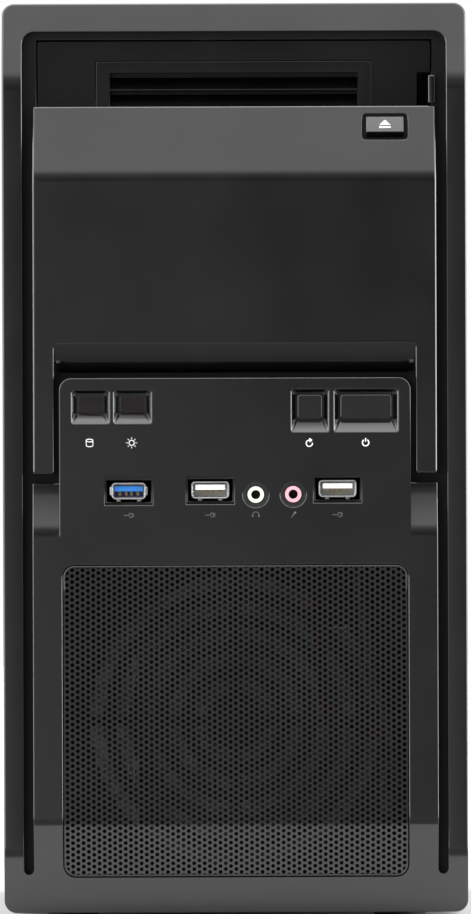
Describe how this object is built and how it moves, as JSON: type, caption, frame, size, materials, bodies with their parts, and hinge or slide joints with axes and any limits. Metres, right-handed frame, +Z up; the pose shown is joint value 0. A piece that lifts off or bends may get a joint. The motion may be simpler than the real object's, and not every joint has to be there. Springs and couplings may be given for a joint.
{
  "type": "desktop computer tower",
  "caption": "Black mini-tower desktop computer: moulded front with drive shroud, ports, buttons and intake grille on a steel chassis with removable side panels.",
  "frame": {"origin": "centre of the footprint, on the surface that the feet stand on", "axes": "+X right as seen from the front, the front faces -Y, +Z up"},
  "size_m": [0.18, 0.39, 0.357],
  "materials": {
    "bezel_plastic": "satin black moulded ABS",
    "key_plastic": "satin black moulded ABS, slightly glossier",
    "grille_steel": "black powder coat on perforated steel",
    "lens_plastic": "smoked translucent plastic",
    "black_paint": "black powder coat, fine texture",
    "zinc_steel": "galvanised sheet steel",
    "bright_steel": "nickel-plated sheet",
    "screw_zinc": "zinc-plated screws",
    "brass": "turned brass",
    "chrome_wire": "chromed wire",
    "foot_rubber": "black rubber",
    "fan_plastic": "black glass-filled plastic",
    "pcb_green": "solder-masked circuit board",
    "socket_black": "black moulded nylon",
    "usb_blue": "blue moulded nylon",
    "usb_white": "white moulded nylon",
    "jack_green": "pale green moulded nylon",
    "jack_pink": "pink moulded nylon",
    "switch_black": "black moulded nylon",
    "heatsink_aluminium": "extruded aluminium",
    "drive_metal": "cast and machined aluminium",
    "cable_black": "PVC-insulated leads",
    "cable_red": "red PVC data cable",
    "diode_clear": "clear epoxy"
  },
  "bodies": {
    "root": {"bay_cover_525": "bezel_plastic", "bay_insert_35": "bezel_plastic", "board_components": "socket_black", "board_standoffs": "brass", "case_screws": "screw_zinc", "chassis_base": "zinc_steel", "chassis_front_plate": "black_paint", "chassis_rear_plate": "zinc_steel", "chassis_top": "black_paint", "control_board": "pcb_green", "cpu_fan_frame": "fan_plastic", "cpu_heatsink": "heatsink_aluminium", "drive_cage_35": "zinc_steel", "drive_cage_525": "zinc_steel", "drive_data_cable": "cable_red", "drive_lamp_lens": "lens_plastic", "drive_shroud": "bezel_plastic", "expansion_slots": "socket_black", "fan_screws": "screw_zinc", "front_bezel": "bezel_plastic", "front_io_board": "pcb_green", "front_panel_lead": "cable_black", "hard_drive": "drive_metal", "headphone_socket": "jack_green", "io_shield": "bright_steel", "lamp_diodes": "diode_clear", "memory_module": "pcb_green", "memory_slots": "socket_black", "mesh_grille": "grille_steel", "microphone_socket": "jack_pink", "motherboard": "pcb_green", "motherboard_tray": "zinc_steel", "power_lamp_lens": "lens_plastic", "power_leads": "cable_black", "psu_case": "zinc_steel", "psu_circuit_board": "pcb_green", "psu_fan_frame": "fan_plastic", "psu_fan_guard": "chrome_wire", "psu_mains_inlet": "socket_black", "psu_rocker_frame": "switch_black", "rear_fan_frame": "fan_plastic", "rear_sockets": "bright_steel", "rubber_feet": "foot_rubber", "slot_covers": "zinc_steel", "tact_switches": "socket_black", "usb2_socket_shells": "bright_steel", "usb2_socket_tongues": "usb_white", "usb3_socket_shell": "bright_steel", "usb3_socket_tongue": "usb_blue"},
    "power_button": {"power_button": "key_plastic"},
    "reset_button": {"reset_button": "key_plastic"},
    "eject_key": {"eject_key": "key_plastic"},
    "left_panel": {"left_side_panel": "black_paint", "left_thumbscrews": "screw_zinc"},
    "right_panel": {"right_side_panel": "black_paint", "right_thumbscrews": "screw_zinc"},
    "psu_fan": {"psu_fan_rotor": "fan_plastic"},
    "rear_fan": {"rear_fan_rotor": "fan_plastic"},
    "cpu_fan": {"cpu_fan_rotor": "fan_plastic"},
    "psu_rocker": {"psu_rocker": "switch_black"}
  },
  "joints": [
    {"name": "power_press", "type": "slide", "parent": "root", "child": "power_button", "axis": [0, 1, 0], "range_m": [0, 0.0015], "stiffness_N_per_m": 500, "springref_m": -0.001},
    {"name": "reset_press", "type": "slide", "parent": "root", "child": "reset_button", "axis": [0, 1, 0], "range_m": [0, 0.0015], "stiffness_N_per_m": 500, "springref_m": -0.001},
    {"name": "eject_press", "type": "slide", "parent": "root", "child": "eject_key", "axis": [0, 1, 0], "range_m": [0, 0.0016], "stiffness_N_per_m": 400, "springref_m": -0.001},
    {"name": "left_panel_slide", "type": "slide", "parent": "root", "child": "left_panel", "axis": [0, 1, 0], "range_m": [0, 0.36]},
    {"name": "right_panel_slide", "type": "slide", "parent": "root", "child": "right_panel", "axis": [0, 1, 0], "range_m": [0, 0.36]},
    {"name": "psu_fan_spin", "type": "hinge", "parent": "root", "child": "psu_fan", "pos_m": [0.024, 0.17, 0.309], "axis": [0, 1, 0], "continuous": true},
    {"name": "rear_fan_spin", "type": "hinge", "parent": "root", "child": "rear_fan", "pos_m": [-0.032, 0.17, 0.205], "axis": [0, 1, 0], "continuous": true},
    {"name": "cpu_fan_spin", "type": "hinge", "parent": "root", "child": "cpu_fan", "pos_m": [0.02, 0.105, 0.2], "axis": [1, 0, 0], "continuous": true},
    {"name": "psu_switch_rock", "type": "hinge", "parent": "root", "child": "psu_rocker", "pos_m": [-0.048, 0.183, 0.292], "axis": [1, 0, 0], "range_deg": [0, 14]}
  ]
}
